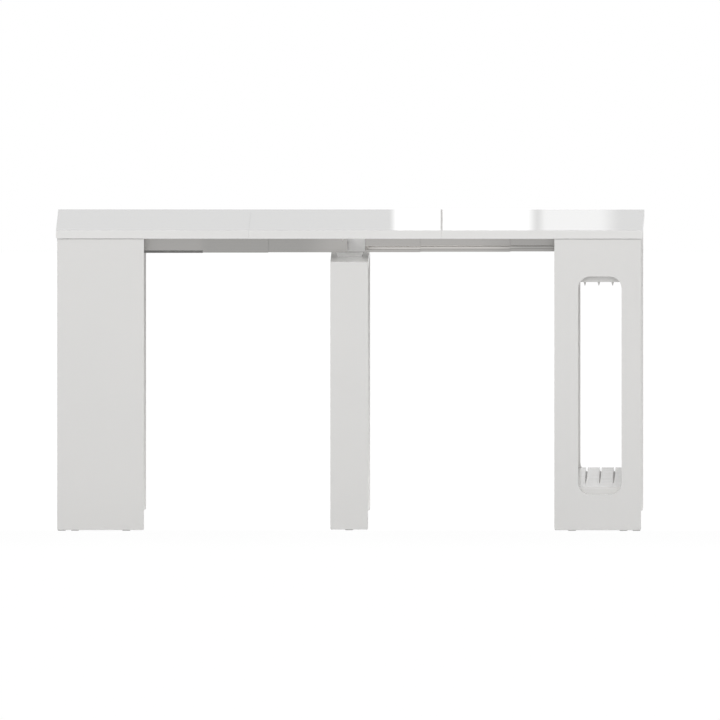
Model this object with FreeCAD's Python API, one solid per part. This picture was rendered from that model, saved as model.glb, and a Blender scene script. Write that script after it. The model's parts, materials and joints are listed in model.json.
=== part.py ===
import FreeCAD, Part
import os

# An extending console table, drawn out, with both leaves laid on its sliding guides.
# Millimetres. The origin is on the floor below the middle of the open table: +X runs along
# the table to the end that holds the leaf rack, +Y runs from front to back, and +Z is up.

Vector = FreeCAD.Vector

# Overall sizes
TABLE_HEIGHT = 750.0
TABLE_DEPTH = 900.0
FIXED_TOP_LENGTH = 500.0
LEAF_LENGTH = 480.0
TOP_THICKNESS = 21.0
LEAF_JOINT = 0.2
TOP_OVERHANG = 3.0
TOP_SHADOW_GAP = 1.0
TOP_END_RADIUS = 3.0
EDGE_EASE = 0.6
JOINT_EASE = 0.15

# End frames
PANEL_THICKNESS = 22.0
END_LEG_WIDTH = 216.0
END_PANEL_INSET = 8.0
LEG_CORNER_RADIUS = 3.0
SHELF_WIDTH = 152.0
SHELF_THICKNESS = 22.0

# Leaf rack in the right end frame
RACK_CAP_GAP = 6.0
RACK_BASE_RISE = 86.5
RACK_PLAY = 9.5
RACK_CENTRE_SHIFT = 2.7
RACK_GROOVE_DEPTH = 12.0
RIB_THICKNESS = 4.0
RIB_HEIGHT = 8.5
RIB_FLARE = 1.0
RIB_TIP_THICKNESS = 2.0
STRIP_SIDE_GAP = 0.2
STRIP_RISE = 2.5
STRIP_BODY_LENGTH = 281.0
STRIP_BACK_INSET = 207.0
STRIP_NOSE_LENGTH = 187.0
STRIP_NOSE_TIP = 1.0
SLOT_SHIFT = 2.8
SLOT_SIDE_MARGIN = 19.5
SLOT_LOWER_LIP = 17.5
SLOT_UPPER_LIP = 15.0
SLOT_CORNER_RADIUS = 30.0

# Centre frame
CENTRE_LEG_WIDTH = 94.0
NEST_GAP = 2.0
STRETCHER_HEIGHT = 100.0

# Feet and pads
FOOT_HEIGHT = 2.0
FOOT_DIAMETER = 20.0
FOOT_TAPER = 1.0
FOOT_CORNER_INSET = 11.5
FOOT_EDGE_INSET = 44.0
PAD_DIAMETER = 12.0
PAD_END_INSET = 30.0
LEAF_REST_GAP = 0.3

# Section of the sliding guides
GUIDE_LINE = 180.0
GUIDE_HEIGHT = 47.5
GUIDE_WEB = 3.0
GUIDE_FLANGE = 2.0
CHANNEL_DEPTH = 13.0
LIP_THICKNESS = 5.5
LIP_HEIGHT = 11.5
NOSE_HEIGHT = 6.0
NOSE_DEPTH = 3.0
NOSE_LEAN = 0.8
NOSE_EASE = 1.0
TONGUE_WALL = 2.0
NECK_GAP = 2.0
RUN_GAP = 0.3
SIDE_GAP = 0.5
STAGE_GAP = 1.0

# Lengths of the guides, and how much of each stage shows past the one before it
END_GUIDE_LENGTH_LEFT = 331.0
END_GUIDE_LENGTH_RIGHT = 420.0
LEFT_MIDDLE_LENGTH = 420.0
LEFT_MIDDLE_SHOWN = 163.0
LEFT_INNER_LENGTH = 374.0
LEFT_INNER_SHOWN = 197.0
SHOE_LENGTH = 44.0
SHOE_LIFT = 2.0
CENTRE_GUIDE_LENGTH = 350.0
RIGHT_MIDDLE_LENGTH = 420.0
RIGHT_MIDDLE_SHOWN = 224.0
EDGE_STRIP_HEIGHT = 5.5
EDGE_STRIP_DEPTH = 2.0
EDGE_STRIP_RISE = 1.0

# Guide brackets, top angles and fixings
BRACKET_HEIGHT = 11.0
BRACKET_TOP_WIDTH = 67.0
BRACKET_FOOT_WIDTH = 59.5
BRACKET_FLANGE = 4.0
BRACKET_FLANGE_DEPTH = 20.0
BRACKET_SCREW_SPACING = 36.0
BRACKET_PITCH = 76.0
ANGLE_LEG = 30.0
ANGLE_WIDTH = 40.0
ANGLE_THICKNESS = 3.0
ANGLE_END_INSET = 46.0
SCREW_DIAMETER = 4.0
SCREW_LENGTH = 18.0
SCREW_HEAD_DIAMETER = 8.0
SCREW_HEAD_HEIGHT = 2.5
SCREW_FIT = 0.05
SCREW_HOLE_GAP = 0.2
DOWEL_DIAMETER = 8.0
DOWEL_IN_EDGE = 20.0
DOWEL_IN_FACE = 12.0
DOWEL_FIT = 0.05
DOWEL_SIDE_INSET = 10.0
PEG_DIAMETER = 6.0
PEG_IN_LEAF = 12.0
PEG_DROP = 6.0
PEG_HOLE_GAP = 0.5
PEG_END_INSET = 37.0
CENTRE_PEG_INSET = 55.0
LEAF_PIN_DIAMETER = 3.5
LEAF_PIN_DROP = 18.0
LEAF_PIN_GAP = 0.5
LEAF_PIN_SHIFT = 7.0

# Levels and lines that follow from the sizes above
TOP_UNDERSIDE = TABLE_HEIGHT - TOP_THICKNESS
PANEL_TOP = TOP_UNDERSIDE - TOP_SHADOW_GAP
GUIDE_BOTTOM = PANEL_TOP - GUIDE_HEIGHT
SEAT_LEVEL = GUIDE_BOTTOM - BRACKET_HEIGHT
SHELF_BOTTOM = SEAT_LEVEL - SHELF_THICKNESS
RACK_CAP_TOP = SHELF_BOTTOM - RACK_CAP_GAP
RACK_CAP_BOTTOM = RACK_CAP_TOP - SHELF_THICKNESS
RACK_BASE_BOTTOM = RACK_BASE_RISE
RACK_BASE_TOP = RACK_BASE_BOTTOM + SHELF_THICKNESS
RACK_HEADROOM = RACK_CAP_BOTTOM - RACK_BASE_TOP - LEAF_LENGTH
LEAF_PAD_TOP = TOP_UNDERSIDE - LEAF_REST_GAP

HALF_LENGTH = FIXED_TOP_LENGTH / 2 + LEAF_LENGTH
FIXED_TOP_EDGE = HALF_LENGTH - FIXED_TOP_LENGTH
LEAF_EDGE = FIXED_TOP_EDGE - LEAF_LENGTH
LEG_OUTER = HALF_LENGTH - TOP_OVERHANG
LEG_INNER = LEG_OUTER - END_LEG_WIDTH
END_PANEL_OUTER = LEG_OUTER - END_PANEL_INSET
END_PANEL_INNER = END_PANEL_OUTER - PANEL_THICKNESS
SHELF_INNER = END_PANEL_INNER - SHELF_WIDTH

HALF_DEPTH = TABLE_DEPTH / 2
LEG_FACE = HALF_DEPTH - TOP_OVERHANG
LEG_BACK = LEG_FACE - PANEL_THICKNESS
STRIP_FRONT_INSET = 2 * LEG_BACK - STRIP_BACK_INSET - STRIP_BODY_LENGTH
CENTRE_LEG_FACE = LEG_BACK - NEST_GAP
CENTRE_LEG_BACK = CENTRE_LEG_FACE - PANEL_THICKNESS

RACK_PITCH = TOP_THICKNESS + RIB_THICKNESS + RACK_PLAY
RACK_CENTRE = (LEG_OUTER + LEG_INNER) / 2 + RACK_CENTRE_SHIFT
RACK_LINES = [RACK_CENTRE - RACK_PITCH, RACK_CENTRE, RACK_CENTRE + RACK_PITCH]
SLOT_HALF_WIDTH = RACK_PITCH + SLOT_SIDE_MARGIN

# Ends of the guides along the table
LEFT_END_GUIDE_STOP = -END_PANEL_INNER + END_GUIDE_LENGTH_LEFT
LEFT_MIDDLE_STOP = LEFT_END_GUIDE_STOP + LEFT_MIDDLE_SHOWN
LEFT_INNER_STOP = LEFT_MIDDLE_STOP + LEFT_INNER_SHOWN
CENTRE_GUIDE_STOP = CENTRE_GUIDE_LENGTH / 2
RIGHT_MIDDLE_STOP = CENTRE_GUIDE_STOP + RIGHT_MIDDLE_SHOWN

# Lines of the guide webs across the table, one stage behind the other
STAGE_PITCH = GUIDE_WEB + STAGE_GAP + CHANNEL_DEPTH
CENTRE_WEB = -GUIDE_LINE
RIGHT_MIDDLE_WEB = CENTRE_WEB + STAGE_PITCH
RIGHT_END_WEB = RIGHT_MIDDLE_WEB + STAGE_PITCH
LEFT_INNER_WEB = CENTRE_WEB - STAGE_PITCH
LEFT_MIDDLE_WEB = LEFT_INNER_WEB - STAGE_PITCH + GUIDE_WEB
LEFT_END_WEB = LEFT_MIDDLE_WEB - STAGE_PITCH

DOWN = Vector(0, 0, -1)
UP = Vector(0, 0, 1)
BACKWARD = Vector(0, 1, 0)
TOUCH = 1e-6


def block(x_span, y_span, z_span):
    """A plain box between a lower and an upper limit on each axis, in any order."""
    spans = [sorted(x_span), sorted(y_span), sorted(z_span)]
    corner = Vector(*[low for low, high in spans])
    return Part.makeBox(*[high - low for low, high in spans], corner)


def rod(start, direction, diameter, length):
    return Part.makeCylinder(diameter / 2, length, start, direction)


def prism(points, along):
    """A solid with a straight-sided outline, drawn out along a vector."""
    return Part.Face(Part.makePolygon(points + points[:1])).extrude(along)


def mirrored(shape):
    """The same piece on the other side of the middle plane that runs along the table."""
    return shape.mirror(Vector(0, 0, 0), BACKWARD)


def front_and_back(shapes):
    return list(shapes) + [mirrored(shape) for shape in shapes]


def bored(shape, cutters):
    return shape.cut(Part.makeCompound(cutters))


def eased(board):
    """A board with all its sharp edges softly broken."""
    return board.makeFillet(EDGE_EASE, board.Edges)


# Top boards

def top_board(x_span, end_x):
    """A top board whose lower edge is rounded over at end_x, the end of the table."""
    board = block(x_span, (-HALF_DEPTH, HALF_DEPTH), (TOP_UNDERSIDE, TABLE_HEIGHT))
    lower_end = [
        edge for edge in board.Edges
        if abs(edge.CenterOfMass.x - end_x) < TOUCH and abs(edge.CenterOfMass.z - TOP_UNDERSIDE) < TOUCH
    ]
    if lower_end:
        board = board.makeFillet(TOP_END_RADIUS, lower_end)
    upper = [edge for edge in board.Edges if abs(edge.BoundBox.ZMin - TABLE_HEIGHT) < TOUCH]
    joints = [edge for edge in upper if edge.BoundBox.XLength < TOUCH < abs(edge.CenterOfMass.x - end_x)]
    board = board.makeChamfer(JOINT_EASE, joints)
    outer = [
        edge for edge in board.Edges
        if abs(edge.BoundBox.ZMin - TABLE_HEIGHT) < TOUCH
        and (edge.BoundBox.XLength > TOUCH or abs(edge.CenterOfMass.x - end_x) < TOUCH)
    ]
    return board.makeFillet(EDGE_EASE, outer)


# Legs and panels

def leg_panel(x_span, y_face, y_back, z_top, slot=None):
    """An upright board with rounded lower corners, eased edges and, where given, a rack slot."""
    panel = block(x_span, (y_face, y_back), (FOOT_HEIGHT, z_top))
    corners = [
        edge for edge in panel.Edges
        if abs(edge.CenterOfMass.z - FOOT_HEIGHT) < TOUCH and edge.BoundBox.XLength < TOUCH
    ]
    panel = panel.makeFillet(LEG_CORNER_RADIUS, corners)
    if slot:
        panel = panel.cut(slot)
    outline = [edge for edge in panel.Edges if edge.BoundBox.YLength < TOUCH]
    return panel.makeFillet(EDGE_EASE, outline)


def rack_slot():
    """The upright opening that the spare leaves slide through, with round corners."""
    middle = RACK_CENTRE + SLOT_SHIFT
    slot = block(
        (middle - SLOT_HALF_WIDTH, middle + SLOT_HALF_WIDTH),
        (-HALF_DEPTH, HALF_DEPTH),
        (RACK_BASE_TOP - SLOT_LOWER_LIP, RACK_CAP_BOTTOM + SLOT_UPPER_LIP),
    )
    corners = [edge for edge in slot.Edges if edge.BoundBox.YLength > TABLE_DEPTH / 2]
    return slot.makeFillet(SLOT_CORNER_RADIUS, corners)


def hanging_rib(x):
    """A tapered rib that keeps two leaves apart, under the cap of the rack."""
    root = RIB_THICKNESS / 2 + RIB_FLARE
    tip = RIB_TIP_THICKNESS / 2
    low = RACK_CAP_BOTTOM - RIB_HEIGHT
    section = [(x - root, RACK_CAP_BOTTOM), (x + root, RACK_CAP_BOTTOM), (x + tip, low), (x - tip, low)]
    points = [Vector(across, -LEG_BACK, up) for across, up in section]
    return prism(points, BACKWARD * (2 * LEG_BACK))


def divider_strip(x):
    """A strip that parts two leaves: its body stands in a groove, and its nose tapers along the board."""
    half = RIB_THICKNESS / 2 - STRIP_SIDE_GAP
    tip = STRIP_NOSE_TIP / 2
    start = -LEG_BACK + STRIP_FRONT_INSET
    end = start - STRIP_NOSE_LENGTH
    body = block(
        (x - half, x + half),
        (start, LEG_BACK - STRIP_BACK_INSET),
        (RACK_BASE_TOP - RACK_GROOVE_DEPTH, RACK_BASE_TOP + STRIP_RISE),
    )
    outline = [(x - half, start), (x + half, start), (x + tip, end), (x - tip, end)]
    points = [Vector(across, along, RACK_BASE_TOP) for across, along in outline]
    return body.fuse(prism(points, UP * STRIP_RISE)).removeSplitter()


def foot(x, y):
    """A low round glide with a tapered rim, under a leg."""
    upper = FOOT_DIAMETER / 2
    return Part.makeCone(upper - FOOT_TAPER, upper, FOOT_HEIGHT, Vector(x, y, 0))


def end_feet(side):
    """Three feet under the front panel and three under the back panel of one end frame."""
    places = [
        LEG_OUTER - FOOT_CORNER_INSET,
        LEG_OUTER - FOOT_EDGE_INSET,
        LEG_INNER + FOOT_EDGE_INSET,
    ]
    middle = -(LEG_FACE + LEG_BACK) / 2
    return front_and_back([foot(side * x, middle) for x in places])


def pad(x, y, z_top):
    return rod(Vector(x, y, PANEL_TOP), UP, PAD_DIAMETER, z_top - PANEL_TOP)


# Sliding guides

def half_outline(kind):
    """Upper half of a guide's section: first across the guides from the web, then up."""
    half = GUIDE_HEIGHT / 2
    lip_tip = half - GUIDE_FLANGE - LIP_HEIGHT
    lip_back = LIP_THICKNESS - CHANNEL_DEPTH
    nose = -CHANNEL_DEPTH
    neck = lip_tip - NECK_GAP
    head = half - GUIDE_FLANGE - RUN_GAP
    head_start = GUIDE_WEB + STAGE_GAP + LIP_THICKNESS + SIDE_GAP
    head_end = STAGE_PITCH - SIDE_GAP
    channel = [
        (0, half - GUIDE_FLANGE),
        (lip_back, half - GUIDE_FLANGE),
        (lip_back, lip_tip),
        (nose + NOSE_EASE, lip_tip),
        (nose, lip_tip + NOSE_EASE),
        (nose + NOSE_LEAN, lip_tip + NOSE_HEIGHT),
        (nose + NOSE_DEPTH, lip_tip + NOSE_HEIGHT + NOSE_EASE),
        (nose + NOSE_DEPTH, half),
    ]
    tongue = [(GUIDE_WEB, neck), (head_start, neck), (head_start, head), (head_end, head)]
    if kind == "end":
        return channel + [(GUIDE_WEB, half)]
    if kind == "middle":
        return channel + [(GUIDE_WEB, half)] + tongue
    if kind == "shoe":
        return [(0, half), (GUIDE_WEB, half)] + tongue
    front_tongue = [(GUIDE_WEB - across, up) for across, up in reversed(tongue)]
    return front_tongue + [(0, half), (GUIDE_WEB, half)] + tongue


def tongue_bores(kind):
    """The hollow cores of a guide's tongues: their limits across the guides."""
    core = (GUIDE_WEB, STAGE_PITCH - SIDE_GAP - TONGUE_WALL)
    if kind == "middle":
        return [core]
    if kind == "inner":
        return [core, (GUIDE_WEB - core[1], GUIDE_WEB - core[0])]
    return []


def guide(kind, web, opens, x_span, lift=0.0):
    """A guide profile along the table. opens is +1 where its channel faces the front."""
    middle = GUIDE_BOTTOM + GUIDE_HEIGHT / 2
    upper = half_outline(kind)
    outline = upper + [(across, -up) for across, up in reversed(upper)]
    points = [Vector(x_span[0], web + opens * across, middle + up) for across, up in outline]
    solid = prism(points, Vector(x_span[1] - x_span[0], 0, 0))
    core = GUIDE_HEIGHT / 2 - GUIDE_FLANGE - LIP_HEIGHT - NECK_GAP - TONGUE_WALL
    for start, end in tongue_bores(kind):
        y_span = (web + opens * start, web + opens * end)
        solid = solid.cut(block(x_span, y_span, (middle - core, middle + core)))
    if lift:
        solid = solid.cut(block(x_span, (-HALF_DEPTH, 0), (GUIDE_BOTTOM, GUIDE_BOTTOM + lift)))
    return solid


# Brackets and fixings

def screw(seat, direction):
    """A round-headed screw whose head sits on seat and whose shank runs along direction."""
    head = rod(seat, direction * -1, SCREW_HEAD_DIAMETER, SCREW_HEAD_HEIGHT)
    return head.fuse(rod(seat, direction, SCREW_DIAMETER, SCREW_LENGTH)).removeSplitter()


def screw_pilot(seat, direction):
    return rod(seat, direction, SCREW_DIAMETER + 2 * SCREW_FIT, SCREW_LENGTH + SCREW_HOLE_GAP)


def screw_clearance(seat, direction, thickness):
    start = seat - direction * SCREW_HOLE_GAP
    return rod(start, direction, SCREW_DIAMETER + 2 * SCREW_HOLE_GAP, thickness + SCREW_HOLE_GAP)


def bracket_seats(x, y_flange, outward):
    """Where the two screws of a guide bracket sit on its flange."""
    y = y_flange + outward * BRACKET_FLANGE_DEPTH / 2
    z = SEAT_LEVEL + BRACKET_FLANGE
    return [Vector(x + shift * BRACKET_SCREW_SPACING / 2, y, z) for shift in (-1, 1)]


def guide_bracket(x, y_span, outward):
    """A tapered bridge under a guide, with a screwed flange on the side that outward points to."""
    low = BRACKET_FOOT_WIDTH / 2
    high = BRACKET_TOP_WIDTH / 2
    ends = sorted(y_span)
    section = [(-low, SEAT_LEVEL), (low, SEAT_LEVEL), (high, GUIDE_BOTTOM), (-high, GUIDE_BOTTOM)]
    points = [Vector(x + across, ends[0], up) for across, up in section]
    body = prism(points, BACKWARD * (ends[1] - ends[0]))
    y_flange = ends[1] if outward > 0 else ends[0]
    flange = block(
        (x - low, x + low),
        (y_flange, y_flange + outward * BRACKET_FLANGE_DEPTH),
        (SEAT_LEVEL, SEAT_LEVEL + BRACKET_FLANGE),
    )
    holes = [screw_clearance(seat, DOWN, BRACKET_FLANGE) for seat in bracket_seats(x, y_flange, outward)]
    return bored(body.fuse(flange).removeSplitter(), holes)


def bracket_set(places, y_span, outward):
    """Brackets at several places along the table, with their screws and the pilot holes."""
    ends = sorted(y_span)
    y_flange = ends[1] if outward > 0 else ends[0]
    seats = [seat for x in places for seat in bracket_seats(x, y_flange, outward)]
    brackets = front_and_back([guide_bracket(x, y_span, outward) for x in places])
    screws = front_and_back([screw(seat, DOWN) for seat in seats])
    pilots = front_and_back([screw_pilot(seat, DOWN) for seat in seats])
    return brackets, screws, pilots


def dowels(points, direction):
    """Dowels across butt joints: point lies on the joint, direction runs into the other board's face."""
    length = DOWEL_IN_EDGE + DOWEL_IN_FACE
    return [rod(point - direction * DOWEL_IN_EDGE, direction, DOWEL_DIAMETER, length) for point in points]


def dowel_holes(points, direction):
    length = DOWEL_IN_EDGE + DOWEL_IN_FACE + 2 * DOWEL_FIT
    start = DOWEL_IN_EDGE + DOWEL_FIT
    bore = DOWEL_DIAMETER + 2 * DOWEL_FIT
    return [rod(point - direction * start, direction, bore, length) for point in points]


def shelf_joints(side, z_bottom):
    """Two dowel points on the front end of a board that spans between the leg panels."""
    places = [SHELF_INNER + DOWEL_SIDE_INSET, END_PANEL_INNER - DOWEL_SIDE_INSET]
    return [Vector(side * x, -LEG_BACK, z_bottom + SHELF_THICKNESS / 2) for x in places]


def end_panel_joints(side):
    """Dowel points down the front edge of an end panel, spread evenly."""
    x = side * (END_PANEL_OUTER + END_PANEL_INNER) / 2
    height = PANEL_TOP - FOOT_HEIGHT
    return [Vector(x, -LEG_BACK, FOOT_HEIGHT + height * share) for share in (1 / 8, 1 / 2, 7 / 8)]


def cross_board(side, z_bottom):
    """A level board between the front and back panels of an end frame."""
    return eased(block(
        (side * SHELF_INNER, side * END_PANEL_INNER),
        (-LEG_BACK, LEG_BACK),
        (z_bottom, z_bottom + SHELF_THICKNESS),
    ))


nodes = {}

# Leaf pegs and their holes
centre_peg_x = CENTRE_GUIDE_STOP - CENTRE_PEG_INSET
centre_peg_y = CENTRE_WEB + (LIP_THICKNESS - CHANNEL_DEPTH) / 2
outer_peg_x = -END_PANEL_INNER + PEG_END_INSET
outer_peg_y = LEFT_END_WEB - (LIP_THICKNESS - CHANNEL_DEPTH) / 2

# Locating pins, close in front of the left inner guide
leaf_pin_x = (FIXED_TOP_EDGE + LEAF_EDGE) / 2 - LEAF_PIN_SHIFT
inner_guide_face = LEFT_INNER_WEB + GUIDE_WEB - STAGE_PITCH + SIDE_GAP
leaf_pin_y = inner_guide_face - LEAF_PIN_GAP - LEAF_PIN_DIAMETER / 2


def leaf_pegs(x, y, diameter, drop):
    start = Vector(x, y, TOP_UNDERSIDE - drop)
    return front_and_back([rod(start, UP, diameter, PEG_IN_LEAF + drop)])


def peg_bores(x, y, diameter):
    start = Vector(x, y, TOP_UNDERSIDE)
    return front_and_back([rod(start, UP, diameter + 2 * DOWEL_FIT, PEG_IN_LEAF + DOWEL_FIT)])


def peg_hole(x, y):
    start = Vector(x, y, PANEL_TOP - GUIDE_FLANGE)
    return rod(start, UP, PEG_DIAMETER + 2 * PEG_HOLE_GAP, GUIDE_FLANGE)


# Fixed top and the two leaves
half_joint = LEAF_JOINT / 2
leaf_bores = peg_bores(centre_peg_x, centre_peg_y, PEG_DIAMETER)
leaf_bores += peg_bores(leaf_pin_x, leaf_pin_y, LEAF_PIN_DIAMETER)
nodes["leaf_inner"] = [bored(
    top_board((LEAF_EDGE + half_joint, FIXED_TOP_EDGE - half_joint), -HALF_LENGTH), leaf_bores,
)]
nodes["leaf_inner_pegs"] = leaf_pegs(centre_peg_x, centre_peg_y, PEG_DIAMETER, PEG_DROP)
nodes["leaf_locating_pins"] = leaf_pegs(leaf_pin_x, leaf_pin_y, LEAF_PIN_DIAMETER, LEAF_PIN_DROP)
nodes["leaf_outer"] = [bored(
    top_board((-HALF_LENGTH, LEAF_EDGE - half_joint), -HALF_LENGTH),
    peg_bores(outer_peg_x, outer_peg_y, PEG_DIAMETER),
)]
nodes["leaf_outer_pegs"] = leaf_pegs(outer_peg_x, outer_peg_y, PEG_DIAMETER, PEG_DROP)

# Angles that hold the fixed top to the right end frame
angle_places = [LEG_INNER + ANGLE_END_INSET, LEG_OUTER - ANGLE_END_INSET - END_PANEL_INSET]
angle_level = TOP_UNDERSIDE - ANGLE_THICKNESS
angles = []
top_seats = []
panel_seats = []
for place in angle_places:
    width = (place - ANGLE_WIDTH / 2, place + ANGLE_WIDTH / 2)
    upright = block(
        width, (-LEG_BACK, -LEG_BACK + ANGLE_THICKNESS), (TOP_UNDERSIDE - ANGLE_LEG, TOP_UNDERSIDE),
    )
    level = block(width, (-LEG_BACK, -LEG_BACK + ANGLE_LEG), (angle_level, TOP_UNDERSIDE))
    top_seat = Vector(place, -LEG_BACK + ANGLE_LEG * 2 / 3, angle_level)
    panel_seat = Vector(place, -LEG_BACK + ANGLE_THICKNESS, TOP_UNDERSIDE - ANGLE_LEG * 2 / 3)
    holes = [
        screw_clearance(top_seat, UP, ANGLE_THICKNESS),
        screw_clearance(panel_seat, BACKWARD * -1, ANGLE_THICKNESS),
    ]
    angles.append(bored(upright.fuse(level).removeSplitter(), holes))
    top_seats.append(top_seat)
    panel_seats.append(panel_seat)
nodes["top_angles"] = front_and_back(angles)
nodes["top_angle_screws"] = front_and_back(
    [screw(seat, UP) for seat in top_seats] + [screw(seat, BACKWARD * -1) for seat in panel_seats]
)
nodes["fixed_top"] = [bored(
    top_board((FIXED_TOP_EDGE + half_joint, HALF_LENGTH), HALF_LENGTH),
    front_and_back([screw_pilot(seat, UP) for seat in top_seats]),
)]
angle_pilots = [screw_pilot(seat, BACKWARD * -1) for seat in panel_seats]

# End frames
for side, name in ((-1, "left"), (1, "right")):
    joints = shelf_joints(side, SHELF_BOTTOM) + end_panel_joints(side)
    if side > 0:
        joints += shelf_joints(side, RACK_BASE_BOTTOM) + shelf_joints(side, RACK_CAP_BOTTOM)
    holes = dowel_holes(joints, BACKWARD * -1)
    leg_cutters = holes + (angle_pilots if side > 0 else [])
    front_panel = bored(
        leg_panel(
            (side * LEG_INNER, side * LEG_OUTER), -LEG_FACE, -LEG_BACK, PANEL_TOP,
            rack_slot() if side > 0 else None,
        ),
        leg_cutters,
    )
    nodes[name + "_front_panel"] = [front_panel]
    nodes[name + "_back_panel"] = [mirrored(front_panel)]
    nodes[name + "_end_panel"] = [bored(
        eased(block(
            (side * END_PANEL_INNER, side * END_PANEL_OUTER),
            (-LEG_BACK, LEG_BACK),
            (FOOT_HEIGHT, PANEL_TOP),
        )),
        front_and_back(holes),
    )]
    nodes[name + "_frame_dowels"] = front_and_back(dowels(joints, BACKWARD * -1))
    nodes[name + "_feet"] = end_feet(side)
    web = RIGHT_END_WEB if side > 0 else LEFT_END_WEB
    y_span = (web - side * CHANNEL_DEPTH, web + side * GUIDE_WEB)
    middle = side * (SHELF_INNER + END_PANEL_INNER) / 2
    places = [middle - BRACKET_PITCH / 2, middle + BRACKET_PITCH / 2]
    brackets, screws, pilots = bracket_set(places, y_span, side)
    nodes[name + "_guide_brackets"] = brackets
    nodes[name + "_guide_screws"] = screws
    nodes[name + "_guide_shelf"] = [bored(cross_board(side, SHELF_BOTTOM), front_and_back(holes) + pilots)]
    pad_places = [side * (LEG_INNER + PAD_END_INSET), side * (LEG_OUTER - PAD_END_INSET)]
    pad_top = TOP_UNDERSIDE if side > 0 else LEAF_PAD_TOP
    pad_line = -(LEG_FACE + LEG_BACK) / 2
    nodes[name + "_top_pads"] = front_and_back([pad(x, pad_line, pad_top) for x in pad_places])

# Leaf rack
rack_holes = front_and_back(
    dowel_holes(shelf_joints(1, RACK_BASE_BOTTOM) + shelf_joints(1, RACK_CAP_BOTTOM), BACKWARD * -1)
)
half_rib = RIB_THICKNESS / 2
groove_length = (-LEG_BACK + STRIP_FRONT_INSET, LEG_BACK)
groove_levels = (RACK_BASE_TOP - RACK_GROOVE_DEPTH, RACK_BASE_TOP)
grooves = [block((x - half_rib, x + half_rib), groove_length, groove_levels) for x in RACK_LINES]
nodes["leaf_rack_base"] = [bored(cross_board(1, RACK_BASE_BOTTOM), rack_holes + grooves)]
nodes["rack_divider_strips"] = [divider_strip(x) for x in RACK_LINES]
nodes["leaf_rack_cap"] = [bored(cross_board(1, RACK_CAP_BOTTOM), rack_holes)]
nodes["rack_guide_ribs"] = [hanging_rib(x) for x in RACK_LINES]

# Centre frame
half_leg = CENTRE_LEG_WIDTH / 2
beam_points = [
    Vector(shift * half_leg / 2, -CENTRE_LEG_BACK, SEAT_LEVEL - SHELF_THICKNESS / 2) for shift in (-1, 1)
]
stretcher_points = [
    Vector(0, -CENTRE_LEG_BACK, SHELF_BOTTOM - STRETCHER_HEIGHT * share) for share in (1 / 4, 3 / 4)
]
centre_points = beam_points + stretcher_points
centre_holes = dowel_holes(centre_points, BACKWARD * -1)
centre_leg = bored(
    leg_panel((-half_leg, half_leg), -CENTRE_LEG_FACE, -CENTRE_LEG_BACK, SEAT_LEVEL), centre_holes,
)
nodes["centre_front_leg"] = [centre_leg]
nodes["centre_back_leg"] = [mirrored(centre_leg)]
nodes["centre_frame_dowels"] = front_and_back(dowels(centre_points, BACKWARD * -1))
nodes["centre_feet"] = front_and_back([foot(0, -(CENTRE_LEG_FACE + CENTRE_LEG_BACK) / 2)])
centre_span = (CENTRE_WEB - CHANNEL_DEPTH, CENTRE_WEB + GUIDE_WEB)
brackets, screws, pilots = bracket_set([0], centre_span, 1)
nodes["centre_guide_brackets"] = brackets
nodes["centre_guide_screws"] = screws
nodes["centre_beam"] = [bored(
    eased(block((-half_leg, half_leg), (-CENTRE_LEG_BACK, CENTRE_LEG_BACK), (SHELF_BOTTOM, SEAT_LEVEL))),
    front_and_back(centre_holes) + pilots,
)]
half_board = PANEL_THICKNESS / 2
nodes["centre_stretcher"] = [bored(
    eased(block(
        (-half_board, half_board),
        (-CENTRE_LEG_BACK, CENTRE_LEG_BACK),
        (SHELF_BOTTOM - STRETCHER_HEIGHT, SHELF_BOTTOM),
    )),
    front_and_back(centre_holes),
)]
pad_inset = CENTRE_GUIDE_STOP - PAD_END_INSET
nodes["centre_guide_pads"] = front_and_back(
    [pad(side * pad_inset, centre_peg_y, LEAF_PAD_TOP) for side in (-1, 1)]
)

# Sliding guides, the front line and its mirror image at the back
left_end_span = (-END_PANEL_INNER, LEFT_END_GUIDE_STOP)
strip_face = LEFT_END_WEB - GUIDE_WEB
strip_span = (strip_face, strip_face + EDGE_STRIP_DEPTH)
strip_levels = (GUIDE_BOTTOM + EDGE_STRIP_RISE, GUIDE_BOTTOM + EDGE_STRIP_RISE + EDGE_STRIP_HEIGHT)
edge_strip = block(left_end_span, strip_span, strip_levels)
guides = {
    "left_end_guide": bored(
        guide("end", LEFT_END_WEB, -1, left_end_span), [edge_strip, peg_hole(outer_peg_x, outer_peg_y)],
    ),
    "left_middle_guide": guide(
        "middle", LEFT_MIDDLE_WEB, -1, (LEFT_MIDDLE_STOP - LEFT_MIDDLE_LENGTH, LEFT_MIDDLE_STOP),
    ),
    "left_inner_guide": guide(
        "inner", LEFT_INNER_WEB, 1, (LEFT_INNER_STOP - LEFT_INNER_LENGTH, LEFT_INNER_STOP),
    ),
    "centre_guide": bored(
        guide("middle", CENTRE_WEB, 1, (-CENTRE_GUIDE_STOP, CENTRE_GUIDE_STOP)),
        [peg_hole(centre_peg_x, centre_peg_y)],
    ),
    "right_middle_guide": guide(
        "middle", RIGHT_MIDDLE_WEB, 1, (RIGHT_MIDDLE_STOP - RIGHT_MIDDLE_LENGTH, RIGHT_MIDDLE_STOP),
    ),
    "right_end_guide": guide(
        "end", RIGHT_END_WEB, 1, (END_PANEL_INNER - END_GUIDE_LENGTH_RIGHT, END_PANEL_INNER),
    ),
}
for name, shape in guides.items():
    nodes[name + "_front"] = [shape]
    nodes[name + "_back"] = [mirrored(shape)]
nodes["left_guide_edge_strips"] = front_and_back([edge_strip])
nodes["inner_guide_shoes"] = front_and_back(
    [guide("shoe", LEFT_INNER_WEB, 1, (LEFT_INNER_STOP, LEFT_INNER_STOP + SHOE_LENGTH), SHOE_LIFT)]
)

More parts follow.
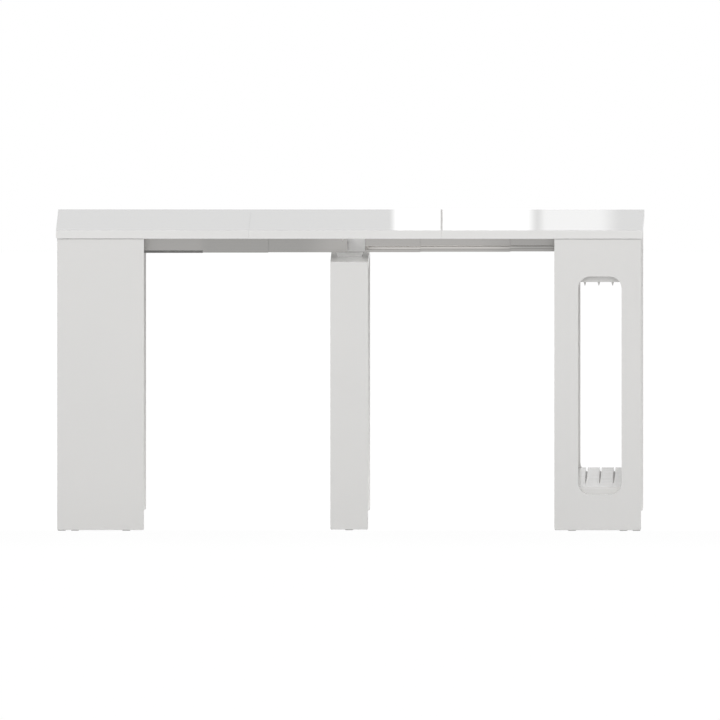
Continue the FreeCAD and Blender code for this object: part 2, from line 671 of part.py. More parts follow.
os.makedirs("parts", exist_ok=True)
for name, solids in sorted(nodes.items()):
    shape = solids[0] if len(solids) == 1 else Part.makeCompound(solids)
    shape.exportStep("parts/" + name + ".step")
    box = shape.BoundBox
    print(
        name, len(shape.Solids), shape.isValid(), round(shape.Volume / 1000, 1),
        [round(value, 1) for value in (box.XMin, box.XMax, box.YMin, box.YMax, box.ZMin, box.ZMax)],
    )
print("Room over a leaf that stands in the rack:", RACK_HEADROOM)
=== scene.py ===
import json
import math

import bmesh
import bpy
from mathutils import Matrix, Vector


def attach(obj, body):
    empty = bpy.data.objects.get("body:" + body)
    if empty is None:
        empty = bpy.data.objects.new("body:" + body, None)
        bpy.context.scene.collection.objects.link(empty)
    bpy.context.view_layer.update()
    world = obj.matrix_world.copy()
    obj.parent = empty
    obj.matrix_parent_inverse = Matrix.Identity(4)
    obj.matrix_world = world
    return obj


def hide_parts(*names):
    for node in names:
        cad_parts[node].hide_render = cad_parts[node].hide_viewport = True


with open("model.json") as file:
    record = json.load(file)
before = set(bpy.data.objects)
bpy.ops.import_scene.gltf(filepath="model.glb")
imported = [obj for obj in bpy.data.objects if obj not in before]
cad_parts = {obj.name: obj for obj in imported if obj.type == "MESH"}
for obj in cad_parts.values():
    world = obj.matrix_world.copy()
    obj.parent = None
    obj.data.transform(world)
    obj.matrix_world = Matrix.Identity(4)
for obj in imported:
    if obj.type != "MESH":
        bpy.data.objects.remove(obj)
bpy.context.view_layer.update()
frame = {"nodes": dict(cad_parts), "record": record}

# A white lacquered console table, drawn out on its aluminium guides. Metres.

# Camera: a parallel view of the table's long side, from just above it
VIEW_AIM = Vector((0.0271, -0.450, 0.4265))
VIEW_AZIMUTH = math.radians(0.35)
VIEW_ELEVATION = math.radians(3.31)
VIEW_DISTANCE = 12.0
VIEW_WIDTH = 1.793

# Studio light: a dome that is brighter in front of the table than behind it, with a low soft light ahead
WHITE = (1.0, 1.0, 1.0, 1.0)
DOME_FRONT = 0.60
DOME_BACK = 0.50
AHEAD_LIGHT = 1.9
AHEAD_ELEVATION = math.radians(28)
AHEAD_REACH = (math.cos(math.radians(32)), math.cos(math.radians(12)))
WHITE_LEVEL = 1.0
FLOOR_COLOUR = (0.60, 0.60, 0.60, 1.0)
FLOOR_FILL_FAR = 0.28
FLOOR_FILL_NEAR = 0.08
FLOOR_FILL_REACH = (-1.40, -0.60)
FLOOR_FILL_UNDER = 0.62
FLOOR_FILL_EDGE = (-0.43, -0.38)
FLOOR_GLOW = 1.03
FLOOR_GLOW_SHARE = 0.92
FLOOR_SIZE = 14.0

# Soft lamps over the centre beam, close below the top and close below the guides.
# Each has a level, a front edge, a back edge and a glow.
NICHE_HALF_WIDTH = 0.05
NICHE_LAMPS = {
    "niche_lamp": (0.7285, -0.42, 0.02, 0.86),
    "guide_lamp": (0.680, -0.213, -0.150, 0.55),
}

# Reflector wall behind the table, whose soft light panes the polished top mirrors
WALL_DISTANCE = 3.95
WALL_HALF_WIDTH = 4.0
WALL_LEVELS = (0.2, 1.9)
WALL_GLOW = 0.765
PANE_GLOW = 1.30
PANE_RISE = (0.0715, 0.0965)
PANE_FALL = (0.408, 0.446)
PALE_PANE_GLOW = 1.03
PALE_RISE = (0.438, 0.466)
PALE_FALL = (0.590, 0.655)
PANE_BAR_PLACE = 0.2037
PANE_BAR_WIDTH = 0.0048
PANE_BAR_CLEARANCE = 0.05
PANE_BAR_GLOW = 0.52
PANE_BAR_COLOUR = (1.0, 0.96, 0.94, 1.0)

# Painted light on the guides, a paler colour standing in for light and shade: the stretches along the table
# where it comes or goes, and its strength. That of the painted highlight on the lips and of the painted
# light in the creases over them also has levels. Creases get it on their open side only, where the normal
# times the place across the table is over the limit.
LEFT_PAINTED_LIGHT_FALL = (-0.38, -0.35)
LEFT_PAINTED_LIGHT = 0.052
MIDDLE_PAINTED_LIGHT_RISE = (-0.13, -0.02)
RIGHT_PAINTED_LIGHT_FALL = (0.30, 0.44)
RIGHT_PAINTED_LIGHT = (0.145, 0.028)
LIP_HIGHLIGHT_RISE = (0.038, 0.040)
LIP_HIGHLIGHT_FALL = (0.36, 0.44)
LIP_PAINTED_HIGHLIGHT = 0.222
LIP_FOOT = (0.6875, 0.6885)
LIP_CROWN = (0.6935, 0.6945)
CREASE_REACH = (0.25, 0.43)
CREASE_PAINTED_LIGHT = (0.855, 0.36)
CREASE_FOOT = (0.6928, 0.6934)
CREASE_CROWN = (0.6946, 0.6956)
OPEN_SIDE_LIMIT = -0.001

# Paler front ends of the rack's strips and ribs: the stretch across the table where the paler tone goes
RACK_PALING_FALL = (-0.10, -0.06)

# Patterns of the finishes: how fine each is, and the part of its noise that shows
CLOUD_SCALE = 2.4
CLOUD_RANGE = (0.35, 0.65)
HAZE_SCALE = 11.0
HAZE_RANGE = (0.3, 0.7)
LINE_RANGE = (0.3, 0.7)
STAIN_SCALE = 26.0
RUB_SCALE = 48.0
RUB_RANGE = (0.45, 0.7)

# Turned small pieces, in steps round the axis and in each rounded edge
TURN_STEPS = 36
ROUND_STEPS = 5
MERGE_DISTANCE = 1e-6
SHARP_ANGLE = math.radians(38)

# Pan-head screws
SCREW_HEAD_RADIUS = 0.0040
SCREW_HEAD_HEIGHT = 0.0025
SCREW_HEAD_ROUNDING = 0.0018
SCREW_SHANK_RADIUS = 0.0020
SCREW_LENGTH = 0.018
SCREW_TIP = 0.0035
CROSS_HALF_WIDTH = 0.00045
CROSS_REACH = 0.0018
CROSS_DEPTH = 0.0014
CROSS_TAPER = 0.55

# Foot glides
GLIDE_FLANGE = 0.0007
GLIDE_ROUNDING = 0.0011
GLIDE_PIN_RADIUS = 0.0030
GLIDE_PIN_DEPTH = 0.0006

# Locating pegs
PEG_NOSE_SHARE = 0.9


# Node helpers

def add(tree, kind, inputs=None, **settings):
    """A node of that kind. inputs maps a socket to a value, or to the socket that feeds it."""
    node = tree.nodes.new(kind)
    for name, value in settings.items():
        setattr(node, name, value)
    for name, value in (inputs or {}).items():
        if isinstance(value, bpy.types.NodeSocket):
            tree.links.new(value, node.inputs[name])
        else:
            node.inputs[name].default_value = value
    return node


def mixed(tree, factor, first, second):
    """The colour between two others."""
    node = add(tree, "ShaderNodeMix", {"Factor": factor, 6: first, 7: second}, data_type="RGBA")
    return node.outputs[2]


def spread(tree, value, low, high, to_low, to_high, shape="LINEAR"):
    """A value carried from one range to another."""
    node = add(tree, "ShaderNodeMapRange", {
        "Value": value, "From Min": low, "From Max": high, "To Min": to_low, "To Max": to_high,
    }, interpolation_type=shape)
    return node.outputs["Result"]


def reckon(tree, operation, first, second):
    """The result of a sum on two values."""
    return add(tree, "ShaderNodeMath", {0: first, 1: second}, operation=operation).outputs["Value"]


def noise(tree, vector, scale, detail=2.0, rough=0.5, distortion=0.0):
    node = add(tree, "ShaderNodeTexNoise", {
        "Vector": vector, "Scale": scale, "Detail": detail, "Roughness": rough, "Distortion": distortion,
    })
    return node.outputs["Fac"]


def effect_group(name, inputs, outputs):
    """An empty shader group: inputs and outputs are lists of a name and a kind of socket."""
    tree = bpy.data.node_groups.new(name, "ShaderNodeTree")
    for title, kind in inputs:
        tree.interface.new_socket(name=title, in_out="INPUT", socket_type=kind)
    for title, kind in outputs:
        tree.interface.new_socket(name=title, in_out="OUTPUT", socket_type=kind)
    return tree, tree.nodes.new("NodeGroupInput").outputs, tree.nodes.new("NodeGroupOutput").inputs


def object_place(tree):
    return add(tree, "ShaderNodeTexCoord").outputs["Object"]


def table_place(tree, axis):
    """How far a point lies from the origin below the table, along one axis."""
    return add(tree, "ShaderNodeSeparateXYZ", {"Vector": object_place(tree)}).outputs[axis]


COLOUR = "NodeSocketColor"
NUMBER = "NodeSocketFloat"
TRIPLE = "NodeSocketVector"
SURFACE_OUTPUTS = [("Colour", COLOUR), ("Roughness", NUMBER), ("Height", NUMBER)]


# Shared effects

def sprayed_lacquer():
    """Sprayed and polished lacquer: broad clouds of tone, a polishing haze and a fine orange peel."""
    tree, given, out = effect_group("sprayed_lacquer", [
        ("Colour", COLOUR), ("Cloud Colour", COLOUR), ("Polished", NUMBER), ("Hazy", NUMBER),
        ("Peel Scale", NUMBER),
    ], SURFACE_OUTPUTS)
    place = object_place(tree)
    clouds = spread(tree, noise(tree, place, CLOUD_SCALE, detail=3.0), *CLOUD_RANGE, 0.0, 1.0)
    smears = noise(tree, place, HAZE_SCALE, detail=4.0, rough=0.6, distortion=0.4)
    haze = spread(tree, smears, *HAZE_RANGE, 0.0, 1.0)
    tone = mixed(tree, clouds, given["Colour"], given["Cloud Colour"])
    gloss = spread(tree, haze, 0.0, 1.0, given["Polished"], given["Hazy"])
    peel = noise(tree, place, given["Peel Scale"], detail=1.5, rough=0.4)
    tree.links.new(tone, out["Colour"])
    tree.links.new(gloss, out["Roughness"])
    tree.links.new(peel, out["Height"])
    return tree


def band(tree, value, rise, fall):
    """A mask with soft edges: it rises over one stretch of the value and falls over another."""
    first = spread(tree, value, *rise, 0.0, 1.0, "SMOOTHSTEP")
    last = spread(tree, value, *fall, 1.0, 0.0, "SMOOTHSTEP")
    return reckon(tree, "MULTIPLY", first, last)


def painted_guide_light():
    """Painted light on the guides: paler from the middle to the right and at the left end in place of
    shade, and most at and over the lips, where it is a painted highlight.
    """
    tree, _, out = effect_group("painted_guide_light", [], [("Paler", NUMBER)])
    along = table_place(tree, "X")
    # Paler by the left leg and from the middle to the right: painted light in place of shade.
    left = spread(tree, along, *LEFT_PAINTED_LIGHT_FALL, LEFT_PAINTED_LIGHT, 0.0, "SMOOTHSTEP")
    middle = spread(tree, along, *MIDDLE_PAINTED_LIGHT_RISE, 0.0, 1.0, "SMOOTHSTEP")
    right = spread(tree, along, *RIGHT_PAINTED_LIGHT_FALL, *RIGHT_PAINTED_LIGHT, "SMOOTHSTEP")
    webs = reckon(tree, "ADD", left, reckon(tree, "MULTIPLY", middle, right))
    height = table_place(tree, "Z")
    # Painted highlight on the lips.
    lip_height = band(tree, height, LIP_FOOT, LIP_CROWN)
    lip_length = band(tree, along, LIP_HIGHLIGHT_RISE, LIP_HIGHLIGHT_FALL)
    lips = reckon(tree, "MULTIPLY", reckon(tree, "MULTIPLY", lip_height, lip_length), LIP_PAINTED_HIGHLIGHT)
    normal = add(tree, "ShaderNodeNewGeometry").outputs["Normal"]
    outward = add(tree, "ShaderNodeSeparateXYZ", {"Vector": normal}).outputs["Y"]
    turned_out = reckon(tree, "MULTIPLY", outward, table_place(tree, "Y"))
    open_side = reckon(tree, "GREATER_THAN", turned_out, OPEN_SIDE_LIMIT)
    # Painted light in the creases over the lips, in place of their shade.
    crease_height = reckon(tree, "MULTIPLY", band(tree, height, CREASE_FOOT, CREASE_CROWN), open_side)
    crease_start = spread(tree, along, *LIP_HIGHLIGHT_RISE, 0.0, 1.0, "SMOOTHSTEP")
    crease_light = spread(tree, along, *CREASE_REACH, *CREASE_PAINTED_LIGHT)
    creases = reckon(tree, "MULTIPLY", reckon(tree, "MULTIPLY", crease_height, crease_start), crease_light)
    paler_share = reckon(tree, "ADD", reckon(tree, "ADD", webs, lips), creases)
    tree.links.new(paler_share, out["Paler"])
    return tree


def rack_front_paling():
    """Where the strips and ribs of the rack turn paler: along their front ends."""
    tree, _, out = effect_group("rack_front_paling", [], [("Paler", NUMBER)])
    paler_share = spread(tree, table_place(tree, "Y"), *RACK_PALING_FALL, 1.0, 0.0, "SMOOTHSTEP")
    tree.links.new(paler_share, out["Paler"])
    return tree


def drawn_lines():
    """Die lines and streaks along an extruded or brushed material, and a paler tone where a mask says; on
    the guides that paler tone is painted light.
    """
    tree, given, out = effect_group("drawn_lines", [
        ("Colour", COLOUR), ("Streak Colour", COLOUR), ("Paler Colour", COLOUR), ("Paler", NUMBER),
        ("Line Scale", TRIPLE), ("Smooth", NUMBER), ("Coarse", NUMBER),
    ], SURFACE_OUTPUTS)
    place = object_place(tree)
    stretched = add(tree, "ShaderNodeMapping", {"Vector": place, "Scale": given["Line Scale"]})
    scratches = noise(tree, stretched.outputs["Vector"], 1.0, detail=4.0, rough=0.6)
    lines = spread(tree, scratches, *LINE_RANGE, 0.0, 1.0)
    stains = noise(tree, place, STAIN_SCALE, detail=3.0)
    streaks = reckon(tree, "MULTIPLY", lines, stains)
    streaked = mixed(tree, streaks, given["Colour"], given["Streak Colour"])
    tone = mixed(tree, given["Paler"], streaked, given["Paler Colour"])
    grip = spread(tree, lines, 0.0, 1.0, given["Smooth"], given["Coarse"])
    tree.links.new(tone, out["Colour"])
    tree.links.new(grip, out["Roughness"])
    tree.links.new(lines, out["Height"])
    return tree


def moulded_grain():
    """The fine grain of a moulded plastic or rubber, with rubbed patches, and a paler tone where a mask
    says.
    """
    tree, given, out = effect_group("moulded_grain", [
        ("Colour", COLOUR), ("Rubbed Colour", COLOUR), ("Paler Colour", COLOUR), ("Paler", NUMBER),
        ("Grain Scale", NUMBER), ("Rubbed", NUMBER), ("Matt", NUMBER),
    ], SURFACE_OUTPUTS)
    place = object_place(tree)
    cells = add(tree, "ShaderNodeTexVoronoi", {"Vector": place, "Scale": given["Grain Scale"]})
    rubbed = spread(tree, noise(tree, place, RUB_SCALE, detail=3.0), *RUB_RANGE, 0.0, 1.0)
    patched = mixed(tree, rubbed, given["Colour"], given["Rubbed Colour"])
    tone = mixed(tree, given["Paler"], patched, given["Paler Colour"])
    sheen = spread(tree, rubbed, 0.0, 1.0, given["Matt"], given["Rubbed"])
    tree.links.new(tone, out["Colour"])
    tree.links.new(sheen, out["Roughness"])
    tree.links.new(cells.outputs["Distance"], out["Height"])
    return tree


# Materials

def surface(name, effect, values, bump, depth, metallic=0.0, paling=None):
    """A material whose tone, roughness and relief come from a shared effect, and the mask of its paler tone
    from another.
    """
    material = bpy.data.materials.new(name)
    material.use_nodes = True
    tree = material.node_tree
    tree.nodes.clear()
    skin = add(tree, "ShaderNodeGroup", node_tree=effect)
    for title, value in values.items():
        skin.inputs[title].default_value = value
    if paling:
        zones = add(tree, "ShaderNodeGroup", node_tree=paling)
        tree.links.new(zones.outputs["Paler"], skin.inputs["Paler"])
    relief = add(tree, "ShaderNodeBump", {
        "Strength": bump, "Distance": depth, "Height": skin.outputs["Height"],
    })
    shader = add(tree, "ShaderNodeBsdfPrincipled", {
        "Base Color": skin.outputs["Colour"],
        "Roughness": skin.outputs["Roughness"],
        "Metallic": metallic,
        "Normal": relief.outputs["Normal"],
    })
    add(tree, "ShaderNodeOutputMaterial", {"Surface": shader.outputs["BSDF"]})
    return material


def grey(level, warmth=0.0):
    """A grey of that linear level, a little warmer where warmth is positive."""
    return (level * (1 + warmth / 2), level, level * (1 - warmth), 1.0)


lacquer = sprayed_lacquer()
drawn = drawn_lines()
moulded = moulded_grain()

finishes = {
    "top_lacquer": surface("top_lacquer", lacquer, {
        "Colour": grey(0.825, 0.016), "Cloud Colour": grey(0.810, 0.014),
        "Polished": 0.03, "Hazy": 0.05, "Peel Scale": 240.0,
    }, bump=0.006, depth=0.0002),
    "frame_lacquer": surface("frame_lacquer", lacquer, {
        "Colour": grey(0.775, 0.018), "Cloud Colour": grey(0.763, 0.016),
        "Polished": 0.20, "Hazy": 0.26, "Peel Scale": 240.0,
    }, bump=0.05, depth=0.0002),
    # On the guides the paler colour is painted light: a painted highlight on the lips and light in place of
    # shade elsewhere.
    "guide_aluminium": surface("guide_aluminium", drawn, {
        "Colour": grey(0.352, 0.03), "Streak Colour": grey(0.332, 0.03),
        "Paler Colour": (0.935, 0.90, 0.865, 1.0),
        "Line Scale": (1.5, 2400.0, 2400.0), "Smooth": 0.15, "Coarse": 0.20,
    }, bump=0.02, depth=0.0001, metallic=1.0, paling=painted_guide_light()),
    "bracket_aluminium": surface("bracket_aluminium", drawn, {
        "Colour": grey(0.80, 0.015), "Streak Colour": grey(0.75, 0.015),
        "Line Scale": (60.0, 60.0, 420.0), "Smooth": 0.40, "Coarse": 0.55,
    }, bump=0.10, depth=0.0002, metallic=0.6),
    "shoe_plastic": surface("shoe_plastic", moulded, {
        "Colour": grey(0.70, 0.012), "Rubbed Colour": grey(0.74, 0.012),
        "Grain Scale": 1800.0, "Rubbed": 0.30, "Matt": 0.42,
    }, bump=0.10, depth=0.0001, metallic=0.5),
    "zinc_steel": surface("zinc_steel", drawn, {
        "Colour": (0.60, 0.62, 0.65, 1.0), "Streak Colour": (0.50, 0.51, 0.52, 1.0),
        "Line Scale": (900.0, 900.0, 900.0), "Smooth": 0.22, "Coarse": 0.36,
    }, bump=0.05, depth=0.0001, metallic=1.0),
    "dowel_beech": surface("dowel_beech", drawn, {
        "Colour": (0.60, 0.42, 0.26, 1.0), "Streak Colour": (0.42, 0.27, 0.15, 1.0),
        "Line Scale": (700.0, 30.0, 700.0), "Smooth": 0.55, "Coarse": 0.70,
    }, bump=0.15, depth=0.0002),
    "peg_nylon": surface("peg_nylon", moulded, {
        "Colour": grey(0.74, 0.03), "Rubbed Colour": grey(0.78, 0.03),
        "Grain Scale": 1500.0, "Rubbed": 0.28, "Matt": 0.40,
    }, bump=0.08, depth=0.0001),
    "pad_rubber": surface("pad_rubber", moulded, {
        "Colour": grey(0.045), "Rubbed Colour": grey(0.07),
        "Grain Scale": 1600.0, "Rubbed": 0.60, "Matt": 0.85,
    }, bump=0.30, depth=0.0002),
    "foot_plastic": surface("foot_plastic", moulded, {
        "Colour": grey(0.46, 0.02), "Rubbed Colour": grey(0.52, 0.02),
        "Grain Scale": 1400.0, "Rubbed": 0.40, "Matt": 0.58,
    }, bump=0.20, depth=0.0001),
    "rack_plastic": surface("rack_plastic", moulded, {
        "Colour": grey(0.38, 0.02), "Rubbed Colour": grey(0.42, 0.02), "Paler Colour": grey(0.54, 0.02),
        "Grain Scale": 1400.0, "Rubbed": 0.40, "Matt": 0.58,
    }, bump=0.20, depth=0.0001, paling=rack_front_paling()),
    # The edge seal's dark grey is partly painted shade: the strips are real, and their darkness stands in
    # for the shade of the groove they sit in.
    "edge_seal": surface("edge_seal", moulded, {
        "Colour": grey(0.26, 0.02), "Rubbed Colour": grey(0.30, 0.02),
        "Grain Scale": 1600.0, "Rubbed": 0.45, "Matt": 0.65,
    }, bump=0.20, depth=0.0001),
}


def dress(node, slot):
    """Give a CAD node the finish of its record slot."""
    slots = node.data.materials
    slots.clear()
    slots.append(finishes[slot])


slot_of = {subpart["node"]: subpart["material_slot"] for subpart in frame["record"]["subparts"]}
body_of = {
    node: body for body, members in frame["record"]["behaviour"]["bodies"].items() for node in members
}
for name, slot in slot_of.items():
    dress(frame["nodes"][name], slot)


# Turned small pieces

def solids_in(node):
    """The separate solids of a CAD node, each as the list of its corner points."""
    shape = bmesh.new()
    shape.from_mesh(frame["nodes"][node].data)
    bmesh.ops.remove_doubles(shape, verts=shape.verts, dist=MERGE_DISTANCE)
    solids = []
    seen = set()
    for first in shape.verts:
        if first in seen:
            continue
        seen.add(first)
        island = [first]
        for vert in island:
            for edge in vert.link_edges:
                other = edge.other_vert(vert)
                if other not in seen:
                    seen.add(other)
                    island.append(other)
        solids.append([vert.co.copy() for vert in island])
    shape.free()
    return solids


def rounded_edge(radius, middle, rounding, start, end):
    """Points round an edge, as radius and height: middle is the height of the rounding's centre."""
    angles = [math.radians(start + (end - start) * step / ROUND_STEPS) for step in range(ROUND_STEPS + 1)]
    hub = radius - rounding
    return [(hub + rounding * math.cos(angle), middle + rounding * math.sin(angle)) for angle in angles]


def turned(profile):
    """A solid turned about its own axis from a profile of radius and height."""
    shape = bmesh.new()
    points = [shape.verts.new((radius, 0, height)) for radius, height in profile]
    edges = [shape.edges.new(pair) for pair in zip(points, points[1:])]
    bmesh.ops.spin(
        shape, geom=points + edges, cent=(0, 0, 0), axis=(0, 0, 1),
        angle=math.tau, steps=TURN_STEPS, use_merge=True,
    )
    bmesh.ops.remove_doubles(shape, verts=shape.verts, dist=MERGE_DISTANCE)
    bmesh.ops.recalc_face_normals(shape, faces=shape.faces)
    return shape


def cross_recess(shape):
    """Press a tapered cross into the flat crown of a screw head."""
    crown_level = SCREW_HEAD_HEIGHT - MERGE_DISTANCE

    def crown():
        return [face for face in shape.faces if min(vert.co.z for vert in face.verts) > crown_level]

    for normal in (Vector((1, 0, 0)), Vector((0, 1, 0))):
        for offset in (-CROSS_REACH, -CROSS_HALF_WIDTH, CROSS_HALF_WIDTH, CROSS_REACH):
            faces = crown()
            edges = {edge for face in faces for edge in face.edges}
            verts = {vert for face in faces for vert in face.verts}
            bmesh.ops.bisect_plane(
                shape, geom=faces + list(edges) + list(verts), plane_co=normal * offset, plane_no=normal,
            )
    recess = []
    for face in crown():
        middle = face.calc_center_median()
        near, far = sorted((abs(middle.x), abs(middle.y)))
        if near < CROSS_HALF_WIDTH and far < CROSS_REACH:
            recess.append(face)
    pressed = bmesh.ops.extrude_face_region(shape, geom=recess)
    bmesh.ops.delete(shape, geom=[face for face in recess if face.is_valid], context="FACES")
    floor = [item for item in pressed["geom"] if isinstance(item, bmesh.types.BMVert)]
    bmesh.ops.scale(shape, vec=(CROSS_TAPER, CROSS_TAPER, 1), verts=floor)
    bmesh.ops.translate(shape, vec=(0, 0, -CROSS_DEPTH), verts=floor)
    bmesh.ops.recalc_face_normals(shape, faces=shape.faces)


def pan_head_screw():
    """A pan-head screw: its head stands on the level of zero, and its shank points down."""
    crown = rounded_edge(
        SCREW_HEAD_RADIUS, SCREW_HEAD_HEIGHT - SCREW_HEAD_ROUNDING, SCREW_HEAD_ROUNDING, 90, 0,
    )
    shank = [
        (SCREW_HEAD_RADIUS, 0), (SCREW_SHANK_RADIUS, 0), (SCREW_SHANK_RADIUS, SCREW_TIP - SCREW_LENGTH),
        (0, -SCREW_LENGTH),
    ]
    shape = turned([(0, SCREW_HEAD_HEIGHT)] + crown + shank)
    cross_recess(shape)
    return shape


def foot_glide(radius, height):
    """A nailed plastic glide: a thin flange, a rounded rim and a sunk pin hole in its sole."""
    rim = rounded_edge(radius, height - GLIDE_FLANGE, GLIDE_ROUNDING, 0, -90)
    sole = height - GLIDE_FLANGE - GLIDE_ROUNDING
    return turned(
        [(0, height), (radius, height)] + rim
        + [(GLIDE_PIN_RADIUS, 0), (GLIDE_PIN_RADIUS, sole + GLIDE_PIN_DEPTH), (0, sole + GLIDE_PIN_DEPTH)]
    )


def locating_peg(radius, height):
    """A plain peg with a bullet nose that finds its hole."""
    nose = radius * PEG_NOSE_SHARE
    return turned([(0, height), (radius, height)] + rounded_edge(radius, nose, nose, 0, -90) + [(0, 0)])


def placed_set(name, node, places, small):
    """One piece made of a small shape at several places, in place of a CAD node."""
    pattern = bpy.data.meshes.new(name + "_pattern")
    small.to_mesh(pattern)
    small.free()
    shape = bmesh.new()
    for place in places:
        start = len(shape.verts)
        shape.from_mesh(pattern)
        shape.verts.ensure_lookup_table()
        bmesh.ops.transform(shape, matrix=place, verts=shape.verts[start:])
    mesh = bpy.data.meshes.new(name)
    shape.to_mesh(mesh)
    shape.free()
    bpy.data.meshes.remove(pattern)
    mesh.shade_smooth()
    mesh.set_sharp_from_angle(angle=SHARP_ANGLE)
    mesh.materials.append(finishes[slot_of[node]])
    piece = bpy.data.objects.new(name, mesh)
    bpy.context.scene.collection.objects.link(piece)
    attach(piece, body_of[node])
    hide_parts(node)


def box_of(points):
    """The lowest and the highest corner of the box round some points."""
    low = Vector([min(point[axis] for point in points) for axis in range(3)])
    high = Vector([max(point[axis] for point in points) for axis in range(3)])
    return low, high


def screw_place(points):
    """Where a CAD screw's head stands, and the way that its shank points."""
    low, high = box_of(points)
    size = high - low
    axis = max(range(3), key=lambda index: size[index])
    middle = (low + high) / 2
    widest_shank = SCREW_SHANK_RADIUS + MERGE_DISTANCE

    def radius(point):
        offset = point - middle
        offset[axis] = 0
        return offset.length

    head_low, head_high = box_of([point for point in points if radius(point) > widest_shank])
    head_is_higher = head_low[axis] > middle[axis]
    seat = middle.copy()
    seat[axis] = head_low[axis] if head_is_higher else head_high[axis]
    toward_head = Vector((0, 0, 0))
    toward_head[axis] = 1 if head_is_higher else -1
    return Matrix.Translation(seat) @ toward_head.to_track_quat("Z", "Y").to_matrix().to_4x4()


def upright_set(name, node, make):
    """A set of upright turned pieces, each in the place of a solid of a CAD node and of its size."""
    boxes = [box_of(points) for points in solids_in(node)]
    places = [
        Matrix.Translation(((low.x + high.x) / 2, (low.y + high.y) / 2, low.z)) for low, high in boxes
    ]
    low, high = boxes[0]
    placed_set(name, node, places, make((high.x - low.x) / 2, high.z - low.z))


for node in ("centre_guide_screws", "left_guide_screws", "right_guide_screws", "top_angle_screws"):
    places = [screw_place(points) for points in solids_in(node)]
    placed_set(node.replace("_screws", "_pan_screws"), node, places, pan_head_screw())

for node in ("centre_feet", "left_feet", "right_feet"):
    upright_set(node.replace("_feet", "_glides"), node, foot_glide)

for node in ("leaf_inner_pegs", "leaf_outer_pegs", "leaf_locating_pins"):
    upright_set(node + "_turned", node, locating_peg)


# Stage

def seen_directly(tree):
    """One for rays that come from the camera, or by way of gloss or glass."""
    rays = add(tree, "ShaderNodeLightPath").outputs
    first = reckon(tree, "MAXIMUM", rays["Is Camera Ray"], rays["Is Glossy Ray"])
    return reckon(tree, "MAXIMUM", first, rays["Is Transmission Ray"])


def studio_dome():
    """A white dome, brightest low in front, which lights the table at a plain level."""
    world = bpy.data.worlds.new("studio_dome")
    world.use_nodes = True
    tree = world.node_tree
    tree.nodes.clear()
    toward = add(tree, "ShaderNodeTexCoord").outputs["Generated"]
    across = add(tree, "ShaderNodeSeparateXYZ", {"Vector": toward}).outputs["Y"]
    aim = (0.0, -math.cos(AHEAD_ELEVATION), math.sin(AHEAD_ELEVATION))
    facing = add(tree, "ShaderNodeVectorMath", {0: toward, 1: aim}, operation="DOT_PRODUCT")
    ahead = spread(tree, facing.outputs["Value"], *AHEAD_REACH, 0.0, AHEAD_LIGHT, "SMOOTHSTEP")
    broad = spread(tree, across, -1.0, 1.0, DOME_FRONT, DOME_BACK)
    level = reckon(tree, "ADD", broad, ahead)
    strength = add(tree, "ShaderNodeMix", {
        "Factor": seen_directly(tree), "A": level, "B": WHITE_LEVEL,
    }).outputs["Result"]
    light = add(tree, "ShaderNodeBackground", {"Color": WHITE, "Strength": strength})
    add(tree, "ShaderNodeOutputWorld", {"Surface": light.outputs["Background"]})
    bpy.context.scene.world = world


def stage_material(name):
    material = bpy.data.materials.new(name)
    material.use_nodes = True
    material.node_tree.nodes.clear()
    return material, material.node_tree


def glowing(tree, strength, colour=WHITE):
    """A surface that shines at that strength."""
    return add(tree, "ShaderNodeEmission", {"Color": colour, "Strength": strength}).outputs["Emission"]


def one_sided(tree, front, material):
    """Let a material show on the front of its sheet only, and be clear from behind."""
    clear = add(tree, "ShaderNodeBsdfTransparent").outputs["BSDF"]
    behind = add(tree, "ShaderNodeNewGeometry").outputs["Backfacing"]
    both = add(tree, "ShaderNodeMixShader", {0: behind, 1: front, 2: clear})
    add(tree, "ShaderNodeOutputMaterial", {"Surface": both.outputs["Shader"]})
    return material


def stage_sheet(name, corner, width, height, material):
    """A flat stage sheet from its lower corner, along two edges."""
    mesh = bpy.data.meshes.new(name)
    shape = bmesh.new()
    corners = [corner, corner + width, corner + width + height, corner + height]
    shape.faces.new([shape.verts.new(point) for point in corners])
    shape.to_mesh(mesh)
    shape.free()
    mesh.materials.append(material)
    sheet = bpy.data.objects.new(name, mesh)
    bpy.context.scene.collection.objects.link(sheet)
    return sheet


def pale_floor():
    """A pale floor that is white to the eye, fills the underside with light and keeps a soft shadow.

    From below it is clear.
    """
    material, tree = stage_material("pale_floor")
    paint = add(tree, "ShaderNodeBsdfDiffuse", {"Color": FLOOR_COLOUR})
    across = table_place(tree, "Y")
    front = spread(tree, across, *FLOOR_FILL_REACH, FLOOR_FILL_FAR, FLOOR_FILL_NEAR, "SMOOTHSTEP")
    level = spread(tree, across, *FLOOR_FILL_EDGE, front, FLOOR_FILL_UNDER, "SMOOTHSTEP")
    lit = add(tree, "ShaderNodeAddShader", {0: paint.outputs["BSDF"], 1: glowing(tree, level)})
    share = spread(tree, seen_directly(tree), 0.0, 1.0, 0.0, FLOOR_GLOW_SHARE)
    upper = add(tree, "ShaderNodeMixShader", {
        0: share, 1: lit.outputs["Shader"], 2: glowing(tree, FLOOR_GLOW),
    })
    stage_sheet(
        "pale_floor", Vector((-FLOOR_SIZE, -FLOOR_SIZE, 0)),
        Vector((2 * FLOOR_SIZE, 0, 0)), Vector((0, 2 * FLOOR_SIZE, 0)),
        one_sided(tree, upper.outputs["Shader"], material),
    )


def niche_lamp(name, level, front, back, strength):
    """A small soft lamp that shines down on the centre beam, hidden from the camera and from gloss."""
    material, tree = stage_material(name)
    lamp = stage_sheet(
        name, Vector((-NICHE_HALF_WIDTH, back, level)),
        Vector((2 * NICHE_HALF_WIDTH, 0, 0)), Vector((0, front - back, 0)),
        one_sided(tree, glowing(tree, strength), material),
    )
    lamp.visible_camera = False
    lamp.visible_glossy = False
    lamp.visible_shadow = False


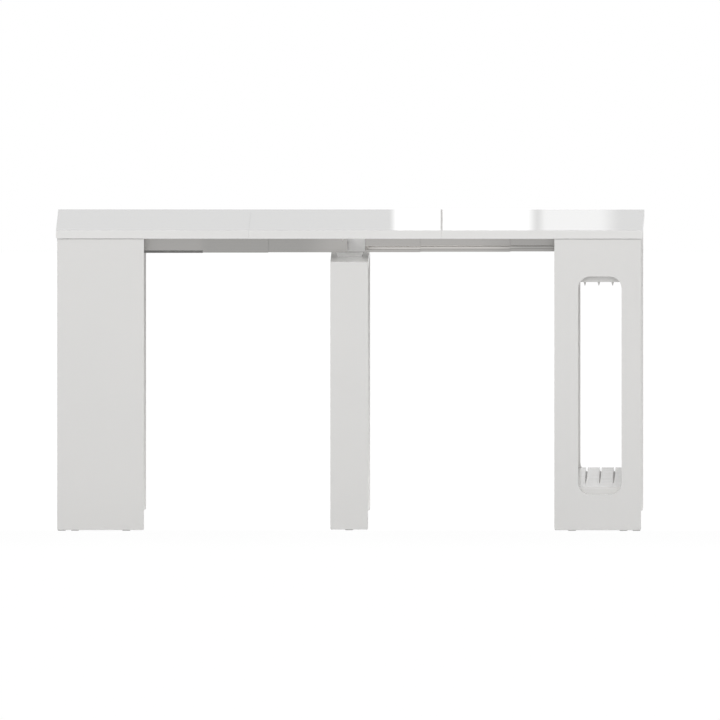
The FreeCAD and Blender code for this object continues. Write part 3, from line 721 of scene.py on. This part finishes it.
def wall_material():
    """A pale wall with one bright pane and one paler pane, both soft at their edges."""
    material, tree = stage_material("wall")
    along = table_place(tree, "X")
    bright = reckon(tree, "MULTIPLY", band(tree, along, PANE_RISE, PANE_FALL), PANE_GLOW - WALL_GLOW)
    pale = reckon(tree, "MULTIPLY", band(tree, along, PALE_RISE, PALE_FALL), PALE_PANE_GLOW - WALL_GLOW)
    level = reckon(tree, "ADD", reckon(tree, "ADD", bright, pale), WALL_GLOW)
    add(tree, "ShaderNodeOutputMaterial", {"Surface": glowing(tree, level)})
    return material


def bar_material():
    material, tree = stage_material("pane_bar")
    add(tree, "ShaderNodeOutputMaterial", {"Surface": glowing(tree, PANE_BAR_GLOW, PANE_BAR_COLOUR)})
    return material


def standing_card(name, x_span, y, material):
    """An upright card behind the table, out of the camera's sight."""
    low, high = WALL_LEVELS
    card = stage_sheet(
        name, Vector((x_span[0], y, low)),
        Vector((x_span[1] - x_span[0], 0, 0)), Vector((0, 0, high - low)), material,
    )
    card.visible_camera = False


def mirrored_wall():
    """The reflector wall, and the thin bar across its bright pane."""
    half_bar = PANE_BAR_WIDTH / 2
    standing_card("wall", (-WALL_HALF_WIDTH, WALL_HALF_WIDTH), WALL_DISTANCE, wall_material())
    standing_card(
        "pane_bar", (PANE_BAR_PLACE - half_bar, PANE_BAR_PLACE + half_bar),
        WALL_DISTANCE - PANE_BAR_CLEARANCE, bar_material(),
    )


def level_camera():
    """A parallel view along +Y, a little from above and from the right."""
    data = bpy.data.cameras.new("level_camera")
    data.type = "ORTHO"
    data.ortho_scale = VIEW_WIDTH
    data.clip_end = 2 * VIEW_DISTANCE
    camera = bpy.data.objects.new("level_camera", data)
    bpy.context.scene.collection.objects.link(camera)
    back = Vector((
        math.sin(VIEW_AZIMUTH) * math.cos(VIEW_ELEVATION),
        -math.cos(VIEW_AZIMUTH) * math.cos(VIEW_ELEVATION),
        math.sin(VIEW_ELEVATION),
    ))
    camera.location = VIEW_AIM + back * VIEW_DISTANCE
    camera.rotation_euler = (-back).to_track_quat("-Z", "Y").to_euler()
    bpy.context.scene.camera = camera


studio_dome()
pale_floor()
for name, lamp in NICHE_LAMPS.items():
    niche_lamp(name, *lamp)
mirrored_wall()
level_camera()
bpy.context.scene.view_settings.view_transform = "Standard"
